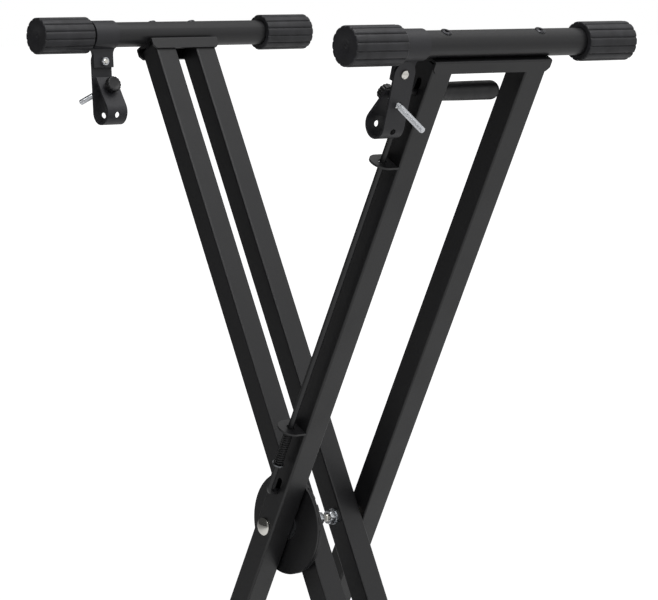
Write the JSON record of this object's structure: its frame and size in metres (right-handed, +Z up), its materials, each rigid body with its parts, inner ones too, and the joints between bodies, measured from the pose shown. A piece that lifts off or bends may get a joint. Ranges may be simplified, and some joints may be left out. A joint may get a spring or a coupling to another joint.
{
  "type": "folding keyboard stand",
  "caption": "Folding X keyboard stand of black square steel tube with a notched disc lock, sprung release rod, ribbed rubber end caps and two strap brackets with thumbscrews.",
  "frame": {"origin": "on the floor straight under the pivot, midway between the outer frame's arms", "axes": "+Z up; -Y is the front, where the release rod and the strap brackets are; the two frames cross along X"},
  "size_m": [0.5478, 0.435, 0.9808],
  "materials": {
    "black_enamel": "satin black powder coat",
    "cap_rubber": "moulded ribbed rubber",
    "black_plastic": "moulded, fine grain",
    "black_oxide_steel": "black oxide",
    "zinc_plate": "bright zinc plate",
    "bright_chrome": "bright nickel",
    "spring_steel": "phosphated spring wire",
    "pale_nylon": "natural nylon"
  },
  "bodies": {
    "outer_frame": {"outer_arm_front": "black_enamel", "outer_arm_rear": "black_enamel", "outer_top_channel": "black_enamel", "outer_top_tube": "black_enamel", "outer_top_cap_front": "cap_rubber", "outer_top_cap_rear": "cap_rubber", "outer_base_channel": "black_enamel", "outer_base_tube": "black_enamel", "outer_base_cap_front": "cap_rubber", "outer_base_cap_rear": "cap_rubber", "outer_tube_screws": "black_oxide_steel", "outer_arm_plugs": "black_plastic", "pivot_bolt_front": "bright_chrome", "pivot_bolt_rear": "bright_chrome", "pivot_washers": "zinc_plate", "pivot_nuts": "zinc_plate", "pivot_side_washer": "pale_nylon", "pivot_spacer": "black_plastic", "guide_disc": "black_enamel", "guide_tab_upper": "black_enamel", "guide_tab_lower": "black_enamel", "right_collar": "black_enamel", "right_strap": "black_enamel", "right_clamp_screw": "bright_chrome", "right_clamp_nut": "zinc_plate", "right_stud_nut": "zinc_plate"},
    "inner_frame": {"inner_arm_front": "black_enamel", "inner_arm_rear": "black_enamel", "inner_top_channel": "black_enamel", "inner_top_tube": "black_enamel", "inner_top_cap_front": "cap_rubber", "inner_top_cap_rear": "cap_rubber", "inner_base_channel": "black_enamel", "inner_base_tube": "black_enamel", "inner_base_cap_front": "cap_rubber", "inner_base_cap_rear": "cap_rubber", "inner_tube_screws": "black_oxide_steel", "inner_arm_plugs": "black_plastic", "pivot_bushings": "pale_nylon", "notched_disc": "black_enamel", "notched_disc_hub": "black_enamel", "left_collar": "black_enamel", "left_strap": "black_enamel", "left_clamp_screw": "bright_chrome", "left_clamp_nut": "zinc_plate", "left_stud_nut": "zinc_plate"},
    "release": {"release_rod": "black_enamel", "release_grip": "black_plastic", "spring_seat": "zinc_plate", "seat_pin": "zinc_plate", "lock_spring": "spring_steel"},
    "right_thumbscrew": {"right_stud": "zinc_plate", "right_knob": "black_plastic"},
    "left_thumbscrew": {"left_stud": "zinc_plate", "left_knob": "black_plastic"}
  },
  "joints": [
    {"name": "fold", "type": "hinge", "parent": "outer_frame", "child": "inner_frame", "pos_m": [0, 0, 0.49039], "axis": [0, -1, 0], "range_deg": [-45, 60]},
    {"name": "lock_release", "type": "slide", "parent": "outer_frame", "child": "release", "axis": [0.4617, 0, 0.887], "range_m": [0, 0.012], "stiffness_N_per_m": 1500, "springref_m": -0.01, "deforming": ["lock_spring"]},
    {"name": "right_thumbscrew_turn", "type": "hinge", "parent": "outer_frame", "child": "right_thumbscrew", "pos_m": [0.22669, -0.0964, 0.91088], "axis": [-0.8434, 0, 0.5373], "continuous": true},
    {"name": "left_thumbscrew_turn", "type": "hinge", "parent": "inner_frame", "child": "left_thumbscrew", "pos_m": [-0.23874, -0.087, 0.90793], "axis": [0.9426, 0, 0.3338], "continuous": true}
  ]
}
